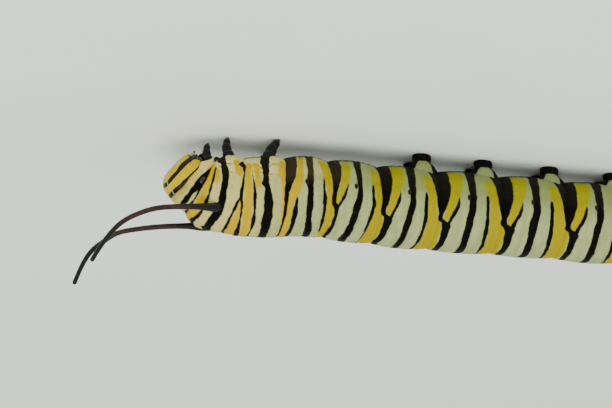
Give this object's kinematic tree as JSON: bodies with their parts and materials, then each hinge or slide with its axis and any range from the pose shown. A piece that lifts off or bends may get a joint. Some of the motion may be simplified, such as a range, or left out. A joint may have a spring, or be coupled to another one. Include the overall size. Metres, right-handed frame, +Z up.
{
  "type": "monarch butterfly larva",
  "caption": "Life-size larva of the monarch butterfly, standing, ringed in black, white and yellow, with long soft feelers on its back.",
  "frame": {"origin": "on the level ground that the larva stands on, under the middle of its bounding box", "axes": "+X towards the head, +Y the larva's left, +Z up from the ground"},
  "size_m": [0.05, 0.0062, 0.0103],
  "materials": {
    "capsule": "smooth and slightly shiny, yellow with black bands",
    "flesh": "soft satin skin, ringed in black, greenish white and yellow",
    "horn": "hard and shiny, black",
    "grey_flesh": "soft satin skin, black and grey",
    "dull_black": "soft and dull, black",
    "brown": "soft and dull, very dark red-brown"
  },
  "bodies": {
    "root": {"head": "capsule", "prothorax": "flesh", "mesothorax": "flesh", "metathorax": "flesh", "abdomen_1": "flesh", "abdomen_2": "flesh", "abdomen_3": "flesh", "abdomen_4": "flesh", "abdomen_5": "flesh", "abdomen_6": "flesh", "abdomen_7": "flesh", "abdomen_8": "flesh", "abdomen_9": "flesh", "abdomen_10": "flesh", "leg_prothorax_right": "horn", "leg_mesothorax_right": "horn", "leg_metathorax_right": "horn", "proleg_3_right": "grey_flesh", "proleg_4_right": "grey_flesh", "proleg_5_right": "grey_flesh", "proleg_6_right": "grey_flesh", "clasper_right": "grey_flesh", "rear_filament_right": "dull_black", "front_filament_right_1": "dull_black", "front_filament_right_2": "brown", "front_filament_right_3": "dull_black", "leg_prothorax_left": "horn", "leg_mesothorax_left": "horn", "leg_metathorax_left": "horn", "proleg_3_left": "grey_flesh", "proleg_4_left": "grey_flesh", "proleg_5_left": "grey_flesh", "proleg_6_left": "grey_flesh", "clasper_left": "grey_flesh", "rear_filament_left": "dull_black", "front_filament_left_1": "dull_black", "front_filament_left_2": "brown", "front_filament_left_3": "dull_black"}
  },
  "joints": []
}
